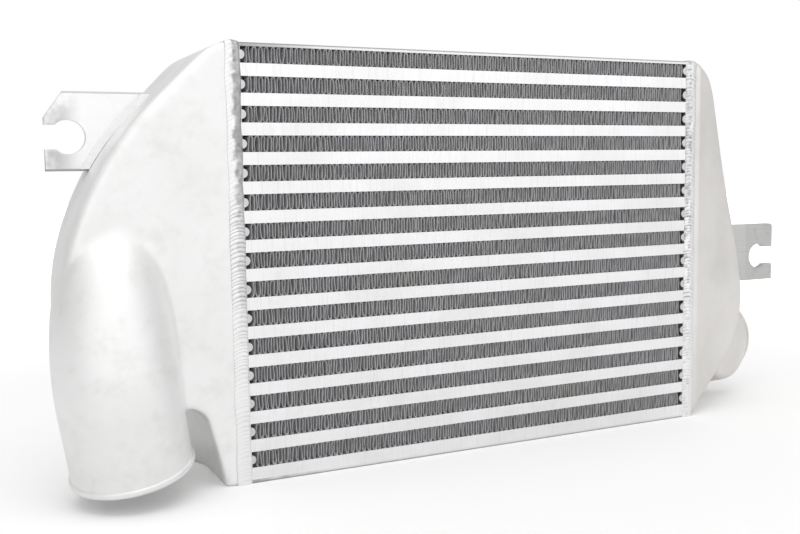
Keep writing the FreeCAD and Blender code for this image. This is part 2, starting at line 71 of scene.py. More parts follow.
# Shader sums
# A finish is written as sums on its sockets; each sign adds the node that works it out.
class Signal:
    """An output socket that takes part in sums; any other node comes from its finish."""

    def __init__(self, finish, socket):
        self.finish = finish
        self.socket = socket

    def sum(self, operation, *parts):
        return self.finish.node("ShaderNodeMath", {"operation": operation}, dict(enumerate(parts)))

    def __add__(self, other):
        return self.sum("ADD", self, other)

    def __mul__(self, other):
        return self.sum("MULTIPLY", self, other)

    def __sub__(self, other):
        return self.sum("SUBTRACT", self, other)

    def __rsub__(self, other):
        return self.sum("SUBTRACT", other, self)

    def __truediv__(self, other):
        return self.sum("DIVIDE", self, other)

    def __rtruediv__(self, other):
        return self.sum("DIVIDE", other, self)

    def __abs__(self):
        return self.sum("ABSOLUTE", self)

    __radd__ = __add__
    __rmul__ = __mul__

    def step(self, low, high):
        """0 below low, 1 above high, smooth between."""
        settings = {"interpolation_type": "SMOOTHSTEP", "clamp": True}
        inputs = {"Value": self, "From Min": low, "From Max": high}
        return self.finish.node("ShaderNodeMapRange", settings, inputs)


class Finish:
    """A node tree that a material, the world or a lamp is written in."""

    def __init__(self, tree):
        self.tree = tree
        tree.nodes.clear()

    def node(self, kind, settings=None, inputs=None, output=0):
        """Adds a node, sets it up, fills or links its inputs and gives one of its outputs."""
        node = self.tree.nodes.new(kind)
        for key, value in (settings or {}).items():
            setattr(node, key, value)
        for key, value in (inputs or {}).items():
            if isinstance(value, Signal):
                self.tree.links.new(value.socket, node.inputs[key])
            else:
                node.inputs[key].default_value = value
        return Signal(self, node.outputs[output]) if node.outputs else node

    def noise(self, scale, detail=2.0, roughness=0.5, stretch=(1, 1, 1)):
        """Cloudy noise on object coordinates; a large stretch makes it fine that way."""
        spot = self.node("ShaderNodeTexCoord", output="Object")
        place = self.node("ShaderNodeMapping", {}, {"Vector": spot, "Scale": stretch})
        inputs = {"Vector": place, "Scale": scale, "Detail": detail, "Roughness": roughness}
        return self.node("ShaderNodeTexNoise", {}, inputs)

    def axis(self, name):
        """One of the three object coordinates, in metres."""
        spot = self.node("ShaderNodeTexCoord", output="Object")
        return self.node("ShaderNodeSeparateXYZ", {}, {"Vector": spot}, name)

    def stored(self, name):
        """A value that the piece's own points carry."""
        return self.node("ShaderNodeAttribute", {"attribute_name": name}, output="Fac")

    def blend(self, share, first, second):
        """From the first colour to the second as the share goes from 0 to 1."""
        settings = {"data_type": "RGBA", "clamp_factor": True}
        first = first if isinstance(first, Signal) else (*first, 1.0)
        second = second if isinstance(second, Signal) else (*second, 1.0)
        # sockets 0, 6 and 7 are the factor and the two colours; output 2 is the colour
        return self.node("ShaderNodeMix", settings, {0: share, 6: first, 7: second}, 2)

    def bump(self, height, depth, strength):
        """A normal for small unevenness of that depth in millimetres."""
        inputs = {"Height": height, "Distance": depth * MM, "Strength": strength}
        return self.node("ShaderNodeBump", {}, inputs)


def metal(name, write):
    """A material whose sockets are filled by write(finish), which returns them by name."""
    material = bpy.data.materials.new(name)
    material.use_nodes = True
    finish = Finish(material.node_tree)
    shader = finish.node("ShaderNodeBsdfPrincipled", {}, write(finish))
    finish.node("ShaderNodeOutputMaterial", {}, {"Surface": shader})
    return material


# Studio
# A white sweep: a pale floor that runs into a white surround, a wide soft lamp overhead and two
# weaker ones in front, left and right. The floor keeps the object's shadow.
surround = bpy.data.worlds.new("surround")
surround.use_nodes = True
bpy.context.scene.world = surround
sky = Finish(surround.node_tree)
seen_directly = sky.node("ShaderNodeLightPath", output="Is Camera Ray")
seen_in_gloss = sky.node("ShaderNodeLightPath", output="Is Glossy Ray")
direction = sky.node("ShaderNodeTexCoord", output="Generated")
card_side = Vector((-0.10, -0.99, 0.05)).normalized()    # a large white card stands in front
towards_card = sky.node("ShaderNodeVectorMath", {"operation": "DOT_PRODUCT"},
                        {0: direction, 1: card_side}, "Value")
skywards = sky.node("ShaderNodeSeparateXYZ", {}, {"Vector": direction}, "Z")
card = towards_card.step(0.42, 0.86) * (1 - 0.32 * skywards.step(0.18, 0.5))    # dimmer towards its top
ceiling = skywards.step(0.6, 0.95)
room_level, card_level, ceiling_level, ambient_level = 0.57, 0.62, 0.25, 0.74    # 1 is white
gloss = room_level + card_level * card + ceiling_level * ceiling
around = seen_in_gloss * gloss + (1 - seen_in_gloss) * ambient_level
level = seen_directly + (1 - seen_directly) * around
backdrop = sky.node("ShaderNodeBackground", {}, {"Color": (1.0, 1.0, 1.0, 1.0), "Strength": level})
sky.node("ShaderNodeOutputWorld", {}, {"Surface": backdrop})

FLOOR_REACH = 6.0                              # metres
FLOOR_SIDES = 64
floor_mesh = bpy.data.meshes.new("floor")
turns = np.linspace(0, 2 * math.pi, FLOOR_SIDES + 1)[:-1]
floor_rim = np.c_[FLOOR_REACH * np.cos(turns), FLOOR_REACH * np.sin(turns), np.zeros(FLOOR_SIDES)]
floor_mesh.from_pydata(floor_rim.tolist(), [], [list(range(FLOOR_SIDES))])
floor = bpy.data.objects.new("floor", floor_mesh)
bpy.context.scene.collection.objects.link(floor)
sweep = bpy.data.materials.new("sweep")
sweep.use_nodes = True
white = Finish(sweep.node_tree)
painted = white.node("ShaderNodeBsdfDiffuse", {}, {"Color": (0.88, 0.88, 0.88, 1.0)})
directly = white.node("ShaderNodeLightPath", output="Is Camera Ray")
spot = white.node("ShaderNodeTexCoord", output="Object")
away = white.node("ShaderNodeVectorMath", {"operation": "LENGTH"}, {0: spot}, "Value")
lift = 0.16 + 0.84 * away.step(0.36, 1.3)              # the sweep brightens away from the object
glow = white.node("ShaderNodeEmission", {}, {"Strength": lift * directly})
both = white.node("ShaderNodeAddShader", {}, {0: painted, 1: glow})
white.node("ShaderNodeOutputMaterial", {}, {"Surface": both})
floor_mesh.materials.append(sweep)


def soft_lamp(name, place, target, width, height, power):
    """A flat lamp of that size that faces its target."""
    lamp = bpy.data.lights.new(name, "AREA")
    lamp.shape = "RECTANGLE"
    lamp.size = width
    lamp.size_y = height
    lamp.energy = power
    carrier = bpy.data.objects.new(name, lamp)
    carrier.location = place
    carrier.rotation_euler = (Vector(target) - Vector(place)).to_track_quat("-Z", "Y").to_euler()
    bpy.context.scene.collection.objects.link(carrier)


soft_lamp("overhead", (-0.2, -0.35, 1.7), (0, 0, 0.1), 1.8, 1.0, 8.0)
soft_lamp("front_left", (-1.5, -1.7, 1.1), (0, 0, 0.15), 2.0, 2.0, 2.0)
soft_lamp("front_right", (1.5, -1.8, 0.9), (0, 0, 0.15), 1.4, 1.4, 2.5)


# Core bars and side plates
# Drawn aluminium bars and sheets, brazed into one block whose faces were then milled flat, which
# leaves fine upright marks. The end bars are the same metal.
CORE_DEPTH = 90.0                              # the milled faces lie this far apart
CORE_HEIGHT = 250.0
ROWS = range(1, 16)                            # counted from the bottom


def milled(finish):
    """Pale drawn metal with upright mill marks and faint clouds."""
    streaks = finish.noise(90.0, 3.0, 0.6, (9.0, 1.0, 0.35))
    clouds = finish.noise(24.0, 3.0, 0.55)
    grain = finish.noise(1700.0, 2.0, 0.6)
    shade = finish.blend(clouds.step(0.35, 0.7), (0.95, 0.95, 0.955), (0.89, 0.89, 0.895))
    return {
        "Base Color": finish.blend(0.6 * streaks.step(0.48, 0.75), shade, (0.80, 0.80, 0.81)),
        "Metallic": 1.0,
        "Roughness": 0.34 + 0.12 * streaks + 0.06 * grain,
        "Normal": finish.bump(0.7 * streaks + 0.3 * grain, 0.05, 0.5),
    }


milled_metal = metal("milled_bar", milled)


def dress(node, material):
    """Gives a carried-over node its finish."""
    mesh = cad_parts[node].data
    mesh.materials.clear()
    mesh.materials.append(material)


def dimmed(finish):
    """The end bars: as the other bars, but darkened with painted shade, because they stand back in the rows.
    """
    sockets = milled(finish)
    # painted shade on the end bars, uneven in blotches
    darkening = 0.45 + 0.3 * finish.noise(300.0)
    sockets["Base Color"] = finish.blend(darkening, sockets["Base Color"], (0.50, 0.50, 0.51))
    return sockets


def edged(finish):
    """Side plates: as the bars, but greyer, dull at the left end, with painted shade along the outer edges.
    """
    sockets = milled(finish)
    height = finish.axis("Z") / MM
    depth = finish.axis("Y") / MM
    face = abs(depth).step(CORE_DEPTH / 2 - 0.4, CORE_DEPTH / 2 - 0.1)
    # painted contact shadow along the bottom edge of the front and rear faces
    low_edge_shade = 1 - height.step(0.5, 1.1)
    # a darker line along the top edge: painted shade, with oxide on the edge
    high_edge = height.step(CORE_HEIGHT - 1.0, CORE_HEIGHT - 0.4)
    left_end = 1 - (finish.axis("X") / MM).step(-157.0, -100.0)
    darkening = 0.15 + 0.75 * face * left_end * finish.noise(60.0).step(0.3, 0.6)
    darkened = finish.blend(darkening, sockets["Base Color"], (0.42, 0.42, 0.40))
    sockets["Base Color"] = finish.blend(0.8 * face * (low_edge_shade + high_edge), darkened, (0.30, 0.30, 0.30))
    return sockets


side_plate_metal = metal("side_plate", edged)
for name in ["bottom_side_plate", "top_side_plate"]:
    dress(name, side_plate_metal)
end_bar_metal = metal("end_bar", dimmed)
for name in ["left_end_bars", "right_end_bars"]:
    dress(name, end_bar_metal)
for number in ROWS:
    dress("charge_tube_%02d" % number, milled_metal)


# Fins
# Thin rolled sheet, folded up and down between the passages; every leg stands a little differently.
# Deep in the rows and towards the right its colour is darkened as painted shade; the sheared edges at the
# faces stay light.
FIN_FOLD = 3.5                                 # one fold up and down
FIN_GAUGE = 0.25


def rolled(finish):
    """Patchy grey sheet, tinted here and there, with painted shade deep in the rows and towards the right.
    """
    depth = finish.axis("Y") / MM
    # painted shade, from the faces to 1.7 mm deep into the rows
    row_shade = (CORE_DEPTH / 2 - abs(depth)).step(0.05, 1.7)
    rightwards = (finish.axis("X") / MM).step(-170.0, 170.0)
    patches = finish.noise(170.0, 3.0, 0.6, (1.0, 0.3, 1.0))
    tint = finish.blend(finish.noise(24.0).step(0.35, 0.65), (0.55, 0.53, 0.56), (0.53, 0.54, 0.50))
    light = finish.blend(patches.step(0.35, 0.7), tint, (0.38, 0.38, 0.39))
    # painted shade towards the right end, in the light tone and in the deep one
    light = finish.blend(0.35 * rightwards, light, (0.30, 0.30, 0.31))
    dark = finish.blend(rightwards, (0.42, 0.42, 0.43), (0.20, 0.20, 0.21))
    return {
        "Base Color": finish.blend(row_shade, light, dark),
        "Metallic": 0.6,
        "Roughness": 0.38 + 0.2 * patches,
        "Normal": finish.bump(patches, 0.05, 0.4),
    }


rolled_sheet = metal("rolled_fin", rolled)


def surface(name, points, faces, material, smooth=True):
    """A new piece from points in millimetres and faces that point outwards."""
    mesh = bpy.data.meshes.new(name)
    mesh.from_pydata((np.asarray(points) * MM).tolist(), [], np.asarray(faces).tolist())
    mesh.polygons.foreach_set("use_smooth", np.full(len(mesh.polygons), smooth))
    mesh.materials.append(material)
    item = bpy.data.objects.new(name, mesh)
    bpy.context.scene.collection.objects.link(item)
    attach(item, "root")
    return item


def fin_section(width, height, chance):
    """The folded sheet seen from the front. In each half fold the rise is half a cosine wave and the
    run is (1 + q^5) / 2 with q from -1 to 1, so crests are round and legs upright; each leg leans and
    bows by a little. Gives the upper and the lower outline, about the middle of the foot."""
    legs = 2 * int(width / FIN_FOLD)
    half_fold = FIN_FOLD / 2
    steps = 8
    t = np.arange(steps) / steps
    leg = np.arange(legs)[:, None]
    lean = chance.normal(0, 0.16, (legs, 1))           # these three spreads are shares of half a fold
    bow = chance.normal(0, 0.17, (legs, 1))
    foot = np.r_[0, np.cumsum(1 + chance.normal(0, 0.09, legs))]
    foot = foot / foot[-1] * legs
    run = foot[:-1, None] + np.diff(foot)[:, None] * (0.5 + 0.5 * (2 * t - 1) ** 5)
    sway = lean * np.sin(math.pi * t) * np.cos(math.pi * t) + bow * np.sin(math.pi * t) ** 2
    x = (run + sway - legs / 2) * half_fold
    rise = 0.5 - 0.5 * np.cos(math.pi * t)
    rise = np.where(leg % 2 == 0, rise, 1 - rise)
    z = FIN_GAUGE / 2 + rise * (height - FIN_GAUGE)
    line = np.c_[x.ravel(), z.ravel()]
    line = np.vstack([line, [legs / 2 * half_fold, FIN_GAUGE / 2]])
    along = np.gradient(line, axis=0)
    along /= np.linalg.norm(along, axis=1)[:, None]
    normal = np.c_[-along[:, 1], along[:, 0]] * FIN_GAUGE / 2
    return line + normal, line - normal


def fin_row(number):
    """The section carried straight from the front face to the rear one, with its ends closed."""
    low, high = (np.array(corner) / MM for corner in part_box("ambient_fin_%02d" % number))
    width, depth, height = high - low
    chance = np.random.default_rng(100 + number)
    upper, lower = fin_section(width, height, chance)
    count = len(upper)
    loop = np.vstack([upper, lower]) + [low[0] + width / 2, low[2]]
    loop[:, 1] = np.clip(loop[:, 1], low[2], high[2])
    front = np.c_[loop[:, 0], np.full(2 * count, low[1]), loop[:, 1]]
    rear = front + [0, depth, 0]
    k = np.arange(count - 1)
    under, back = count, 2 * count                     # where the lower outline and the rear face begin
    last = count - 1
    faces = np.vstack([
        np.c_[k, k + 1, back + k + 1, back + k],
        np.c_[under + k + 1, under + k, back + under + k, back + under + k + 1],
        np.c_[k + 1, k, under + k, under + k + 1],
        np.c_[back + k, back + k + 1, back + under + k + 1, back + under + k],
        [[0, back, back + under, under], [last, under + last, back + under + last, back + last]],
    ])
    fins = surface("fin_row_%02d" % number, np.vstack([front, rear]), faces, rolled_sheet)
    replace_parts(fins, "ambient_fin_%02d" % number)


for number in ROWS:
    fin_row(number)
    dress("turbulator_%02d" % number, rolled_sheet)


# Tanks
# Sand-cast aluminium, blasted to an even satin skin with a fine grain, and faintly clouded where
# the melt cooled unevenly. Each is one hollow casting with a wall of 4 mm and soft corners.
TANK_WALL = 4.0
FLANGE = 165.0                                 # where the tanks begin, out from the core's middle
FLANGE_LENGTH = 7.0                            # the walls run straight so far before they slope


def cast(finish):
    """Pale clouded metal with a fine grain; on the right tank a little warmer, and darker as painted shade.
    """
    clouds = finish.noise(17.0, 4.0, 0.55)
    spots = finish.noise(65.0, 4.0, 0.65)
    grain = finish.noise(1100.0, 3.0, 0.6)
    pale = finish.blend(clouds.step(0.35, 0.7), (0.95, 0.95, 0.948), (0.905, 0.905, 0.898))
    # the right tank's darker copy is painted shade, as its walls slope away from the light; the warmth is a
    # tint
    warm_shaded = finish.blend(clouds.step(0.35, 0.65), (0.88, 0.86, 0.84), (0.79, 0.77, 0.75))
    right_tank_begins = (finish.axis("X") / MM).step(100.0, 160.0)
    shade = finish.blend(right_tank_begins, pale, warm_shaded)
    return {
        "Base Color": finish.blend(0.55 * spots.step(0.45, 0.75), shade, (0.83, 0.82, 0.80)),
        "Metallic": 0.85,
        "Roughness": 0.46 + 0.12 * spots + 0.06 * grain,
        "Normal": finish.bump(0.6 * grain + 0.4 * spots, 0.12, 0.5),
    }


cast_metal = metal("cast_tank", cast)


def smooth_line(corners, count):
    """A cubic spline by chord length that starts level and ends free, as count points."""
    corners = np.asarray(corners, float)
    t = np.r_[0, np.cumsum(np.linalg.norm(np.diff(corners, axis=0), axis=1))]
    n = len(t)
    width = np.diff(t)
    slope = np.diff(corners, axis=0) / width[:, None]
    rows = np.zeros((n, n))
    right = np.zeros((n, 2))
    rows[0, 0], right[0] = 1, (1, 0)
    rows[-1, -2:], right[-1] = (1, 2), 3 * slope[-1]
    for k in range(1, n - 1):
        rows[k, k - 1:k + 2] = width[k], 2 * (width[k - 1] + width[k]), width[k - 1]
        right[k] = 3 * (width[k] * slope[k - 1] + width[k - 1] * slope[k])
    tangent = np.linalg.solve(rows, right)
    at = np.linspace(0, t[-1], count)
    k = np.clip(np.searchsorted(t, at) - 1, 0, n - 2)
    u = ((at - t[k]) / width[k])[:, None]
    start, end = corners[k], corners[k + 1]
    go, come = tangent[k] * width[k][:, None], tangent[k + 1] * width[k][:, None]
    return (start * (2 * u ** 3 - 3 * u ** 2 + 1) + go * (u ** 3 - 2 * u ** 2 + u)
            + end * (3 * u ** 2 - 2 * u ** 3) + come * (u ** 3 - u ** 2))


class Outline:
    """Signed distance to a closed outline, negative inside, kept on a fine grid and read between its
    points in straight lines. Its two directions are out from the flange and up."""

    step = 0.8
    margin = 12.0

    def __init__(self, corners, reach):
        behind = -40                                   # the outline closes well inside the core
        ring = np.vstack([smooth_line(corners, 260), [(behind, corners[-1][1]), (behind, corners[0][1])]])
        shape = [int((size + 2 * self.margin) / self.step) for size in (reach, CORE_HEIGHT)]
        out = self.step * np.arange(shape[0]) - self.margin
        height = self.step * np.arange(shape[1]) - self.margin
        place = np.stack(np.meshgrid(out, height, indexing="ij"), -1).reshape(-1, 2)
        nearest = np.full(len(place), 1e9)
        inside = np.zeros(len(place), bool)
        for a, b in zip(ring, np.roll(ring, -1, axis=0)):
            edge = b - a
            share = np.clip(((place - a) @ edge) / (edge @ edge + 1e-9), 0, 1)
            nearest = np.minimum(nearest, ((place - a - share[:, None] * edge) ** 2).sum(1))
            spans = (a[1] > place[:, 1]) != (b[1] > place[:, 1])
            meets = a[0] + (place[:, 1] - a[1]) * edge[0] / (edge[1] if edge[1] else 1e-9)
            inside ^= spans & (place[:, 0] < meets)
        self.values = (np.sqrt(nearest) * np.where(inside, -1, 1)).reshape(shape)

    def __call__(self, out, height):
        u = np.clip((out + self.margin) / self.step, 0, self.values.shape[0] - 1.001)
        w = np.clip((height + self.margin) / self.step, 0, self.values.shape[1] - 1.001)
        i, j = u.astype(int), w.astype(int)
        u, w = u - i, w - j
        v = self.values
        return ((v[i, j] * (1 - w) + v[i, j + 1] * w) * (1 - u)
                + (v[i + 1, j] * (1 - w) + v[i + 1, j + 1] * w) * u)


def common(first, second, radius):
    """What two forms share, with the edge between them rounded to a circle."""
    return (np.minimum(np.maximum(first, second), -radius)
            + np.hypot(np.maximum(first + radius, 0), np.maximum(second + radius, 0)))


def joined(first, second, radius):
    """Two forms together, with the corner between them filled to a circle."""
    return (np.maximum(np.minimum(first, second), radius)
            - np.hypot(np.maximum(radius - first, 0), np.maximum(radius - second, 0)))


def skin(form, low, high, step):
    """The surface where the form is zero. Each cell of a grid that the surface passes through gets one
    point, the mean of where the cell's edges cross it, and each crossed edge gets the face between its
    four cells; the points then slide down the form's slope onto the surface."""
    axes = [np.arange(a, b + step, step) for a, b in zip(low, high)]
    value = form(np.stack(np.meshgrid(*axes, indexing="ij"), -1))
    cells = np.array(value.shape) - 1
    total = np.zeros((cells.prod(), 3))
    hits = np.zeros(cells.prod())
    quads = []
    for axis in range(3):
        one, two = (axis + 1) % 3, (axis + 2) % 3
        near = np.take(value, range(value.shape[axis] - 1), axis)
        far = np.take(value, range(1, value.shape[axis]), axis)
        place = np.argwhere((near < 0) != (far < 0))
        place = place[(place[:, one] > 0) & (place[:, two] > 0)
                      & (place[:, one] < cells[one]) & (place[:, two] < cells[two])]
        a, b = near[tuple(place.T)], far[tuple(place.T)]
        crossing = place.astype(float)
        crossing[:, axis] += a / (a - b)
        around = []
        for back_one, back_two in ((0, 0), (1, 0), (1, 1), (0, 1)):
            cell = place.copy()
            cell[:, one] -= back_one
            cell[:, two] -= back_two
            number = np.ravel_multi_index(tuple(cell.T), cells)
            for k in range(3):
                total[:, k] += np.bincount(number, crossing[:, k], len(total))
            hits += np.bincount(number, minlength=len(hits))
            around.append(number)
        quad = np.stack(around, 1)
        quads.append(np.where((a < 0)[:, None], quad, quad[:, ::-1]))
    used = np.flatnonzero(hits)
    points = np.array(low) + step * total[used] / hits[used][:, None]
    renumber = np.zeros(len(hits), int)
    renumber[used] = np.arange(len(used))
    near_by, least_slope = 0.05, 0.5
    for _ in range(4):
        here = form(points)
        slope = np.stack([form(points + near_by * side) - here for side in np.eye(3)], -1) / near_by
        move = -here[:, None] * slope / np.maximum((slope ** 2).sum(1), least_slope ** 2)[:, None]
        points = points + np.clip(move, -step / 2, step / 2)
    return points, renumber[np.vstack(quads)]


class Duct:
    """Distance to a round duct: a straight length in from its mouth, then an arc towards one side, of
    that radius and angle, on which it swells by half a sine and narrows evenly."""

    def __init__(self, mouth, inwards, straight, side, bend, turn, taper, swell=0.0):
        self.mouth, self.inwards = mouth, inwards
        self.start = mouth + inwards * straight
        towards = side - inwards * (side @ inwards)
        self.towards = towards / np.linalg.norm(towards)
        self.third = np.cross(inwards, self.towards)
        self.bend, self.turn, self.taper, self.swell = bend, math.radians(turn), taper, swell

    def __call__(self, place):
        start = place - self.start
        rise, back, side = start @ self.inwards, start @ self.towards, start @ self.third
        turn = np.clip(np.arctan2(rise, self.bend - back), 0, self.turn)
        along = rise * np.cos(turn) - (self.bend - back) * np.sin(turn)
        outward = rise * np.sin(turn) + (self.bend - back) * np.cos(turn) - self.bend
        past = np.where(rise > 0, along, 0)
        radius = PORT_RADIUS - self.taper * turn / self.turn
        radius += self.swell * np.sin(math.pi * turn / self.turn)
        return np.sqrt(past ** 2 + outward ** 2 + side ** 2) - radius

    def past_mouth(self, place):
        """Distance to the plane where the duct's wall ends, just inside the lip."""
        inside_lip = 1.5
        return inside_lip - (place - self.mouth) @ self.inwards


def smooth_share(value, low, high):
    """0 below low, 1 above high, smooth between."""
    share = np.clip((value - low) / (high - low), 0, 1)
    return share ** 2 * (3 - 2 * share)


def sloped(across, out, slope):
    """Distance to a wall that stands at half the core's depth along the flange and then slopes in."""
    proud = across - CORE_DEPTH / 2
    return np.maximum(proud, (proud + slope * (out - FLANGE_LENGTH)) / math.hypot(1, slope))


def front_rounding(out, reach):
    """The radius of the front edge: small at the flange and larger beyond the reach."""
    return 2.0 + 4.0 * smooth_share(out, 0, reach)


def facing(turned, lifted=0.0):
    """A direction: from rearwards to the right and then up, both in degrees."""
    turned, lifted = math.radians(turned), math.radians(lifted)
    level = math.cos(lifted)
    return np.array([math.sin(turned) * level, math.cos(turned) * level, math.sin(lifted)])


# Left tank
# The deeper casting. Its hose outlet grows out of the front wall like a thumb and points down, and a
# recess beside and behind it leaves room for the hose and its clamp.
PORT_RADIUS = 33.0
OPEN = -1e9                                    # a cap that closes nothing
left_outline = Outline([(0, CORE_HEIGHT), (25, 234.6), (56, 203), (79, 167), (93.6, 119), (89.5, 77),
                        (47, 25), (13, 0), (-10, -17)], 93)
outlet_limit = Outline([(-1, CORE_HEIGHT), (24.4, 234.6), (55.4, 203), (78.4, 167), (93.4, 125),
                        (99.4, 106), (103.6, 78), (105, 40), (105, -45)], 107)
outlet_mouth = np.array([-224.4, -36.6, 15.8])
outlet_up = np.array([-math.tan(math.radians(9.3)), -math.tan(math.radians(8.0)), 1.0])
outlet_up /= np.linalg.norm(outlet_up)
outlet = Duct(outlet_mouth, outlet_up, straight=27.0, side=facing(22), bend=118.0, turn=52.0, taper=5.0,
              swell=2.4)
LEFT_REAR_SLOPE = 0.42
POCKET_START = 9.0                             # out from the flange at the foot of the tank
POCKET_LEAN = math.tan(math.radians(13.5))
POCKET_HEIGHT = 47.0
POCKET_REAR = 24.0                             # the pocket reaches so far behind the core's middle


def left_form(place, cap=OPEN):
    """The casting without its hollow; the cap closes the outlet alone."""
    x, y, z = place[..., 0], place[..., 1], place[..., 2]
    out = -x - FLANGE
    edge = left_outline(out, z)
    body = common(edge, -CORE_DEPTH / 2 - y, radius=front_rounding(out, reach=22))
    body = common(body, sloped(y, out, LEFT_REAR_SLOPE), radius=7.0)
    pocket_wall = (POCKET_START - out + z * POCKET_LEAN) / math.hypot(1, POCKET_LEAN)
    pocket = common(pocket_wall, y - POCKET_REAR, radius=25.0)
    pocket = common(pocket, z - POCKET_HEIGHT, radius=9.0)
    body = np.maximum(common(body, -pocket, radius=3.0), -z)
    duct = common(outlet(place), outlet_limit(out, z), radius=5.0)
    return joined(body, np.maximum(duct, cap), radius=3.0 * smooth_share(-edge, 2, 24))


def left_shell(place):
    """The form less the form one wall further in, open at the flange and at the outlet."""
    outer = left_form(place, outlet.past_mouth(place))
    inner = left_form(place) + TANK_WALL
    return np.maximum.reduce([outer, -inner, place[..., 0] + FLANGE])


points, faces = skin(left_shell, low=(-275, -82, -4), high=(-160, 50, 254), step=1.8)
left_tank = surface("left_tank_casting", points, faces, cast_metal)
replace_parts(left_tank, "left_tank")


# Right tank
# Narrower, with a front wall that slopes back. Its hose inlet leaves at the rear, low down, out of a
# round recess that the hose and its clamp need.
right_outline = Outline([(0, CORE_HEIGHT), (19, 243.5), (31, 220), (49.5, 160), (70.5, 103), (73, 66),
                         (49, 33), (21, 13), (0, 0)], 76)
inlet_mouth = np.array([236.5, 14.9, 41.0])
inlet_inwards = -facing(20)
inlet = Duct(inlet_mouth, inlet_inwards, straight=4.0, side=facing(-90, lifted=45), bend=42.0, turn=50.0,
             taper=8.0)
RIGHT_FRONT_SLOPE, RIGHT_REAR_SLOPE = 0.36, 0.40
RECESS_RADIUS, RECESS_LENGTH = 40.0, 22.0      # room for the hose and its clamp
NECK_SETBACK = 11.0                            # the neck stays so far behind the front wall's plane


def right_form(place, cap=OPEN):
    """The casting without its hollow; the cap closes the inlet alone."""
    x, y, z = place[..., 0], place[..., 1], place[..., 2]
    out = x - FLANGE
    front_wall = sloped(-y, out, RIGHT_FRONT_SLOPE)
    body = common(right_outline(out, z), front_wall, radius=front_rounding(out, reach=15))
    body = common(body, sloped(y, out, RIGHT_REAR_SLOPE), radius=6.0)
    depth = (place - inlet_mouth) @ inlet_inwards
    off_axis = np.sqrt(np.maximum(((place - inlet_mouth) ** 2).sum(-1) - depth ** 2, 0))
    recess = common(off_axis - RECESS_RADIUS, depth - RECESS_LENGTH, radius=6.0)
    body = common(body, -recess, radius=3.0)
    front = CORE_DEPTH / 2 - NECK_SETBACK - RIGHT_FRONT_SLOPE * (out - FLANGE_LENGTH)
    neck = common(inlet(place), (-y - front) / math.hypot(1, RIGHT_FRONT_SLOPE), radius=3.5)
    return joined(body, np.maximum(neck, cap), radius=2.0)


def right_shell(place):
    """The form less the form one wall further in, open at the flange and at the inlet."""
    outer = right_form(place, inlet.past_mouth(place))
    inner = right_form(place) + TANK_WALL
    return np.maximum.reduce([outer, -inner, FLANGE - place[..., 0]])


points, faces = skin(right_shell, low=(160, -50, -4), high=(276, 50, 254), step=1.7)
right_tank = surface("right_tank_casting", points, faces, cast_metal)
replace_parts(right_tank, "right_tank")


# Rolled lips
# Each hose port ends in a rounded lip that keeps the hose from slipping off.
def loop_faces(rings, count, closed):
    """Quads between rings of count points each; closed joins the last ring to the first."""
    ring, k = np.meshgrid(np.arange(rings if closed else rings - 1), np.arange(count), indexing="ij")
    ring, k = ring.ravel(), k.ravel()
    after, beside = (ring + 1) % rings, (k + 1) % count
    return np.c_[ring * count + k, ring * count + beside, after * count + beside, after * count + k]


def lip(name, mouth, inwards):
    """A rounded section, given as distance from the port's axis and depth from its mouth, carried once
    round the axis. A short tongue reaches into the duct's wall."""
    inner, outer, length, soft = 28.9, 34.2, 3.6, 1.1
    tongue, inset = 1.0, 0.3
    steps = 144
    turn = np.linspace(0, math.pi / 2, 6)
    corner = soft * np.c_[1 - np.cos(turn), 1 - np.sin(turn)]
    section = np.vstack([
        np.c_[inner + corner[:, 0], corner[:, 1]],
        np.c_[outer - corner[::-1, 0], corner[::-1, 1]],
        np.c_[outer - corner[:, 0], length - corner[:, 1]],
        [(PORT_RADIUS - inset, length), (PORT_RADIUS - inset, length + tongue)],
        [(inner + inset, length + tongue)],
        [(inner, length - 0.5)],
    ])
    across = np.cross(inwards, (0, 0, 1) if abs(inwards[2]) < 0.9 else (1, 0, 0))
    across /= np.linalg.norm(across)
    third = np.cross(across, inwards)
    swing = np.linspace(0, 2 * math.pi, steps + 1)[:-1, None, None]
    ring = np.cos(swing) * across + np.sin(swing) * third
    points = mouth + ring * section[None, :, :1] + inwards * section[None, :, 1:]
    item = surface(name, points.reshape(-1, 3), loop_faces(steps, len(section), closed=True), cast_metal)
    return item


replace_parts(lip("outlet_lip", outlet_mouth, outlet_up), "left_tank")
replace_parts(lip("inlet_lip", inlet_mouth, inlet_inwards), "right_tank")


# Welds
# Each tank is welded to the core all round: a root run in the gap and a crowned cap over it, laid as
# one drop after another, so it is rippled like a row of coins. The metal is greyer where it ran hot.
BEAD_WIDTH = 9.5
BEAD_RISE = 1.3
ROOT_GAP = 2.0
DROP = 2.3                                     # the run of one drop of weld metal
SUNK = 0.6                                     # the bead's foot lies below the surfaces that it joins
CORNER = 1.4


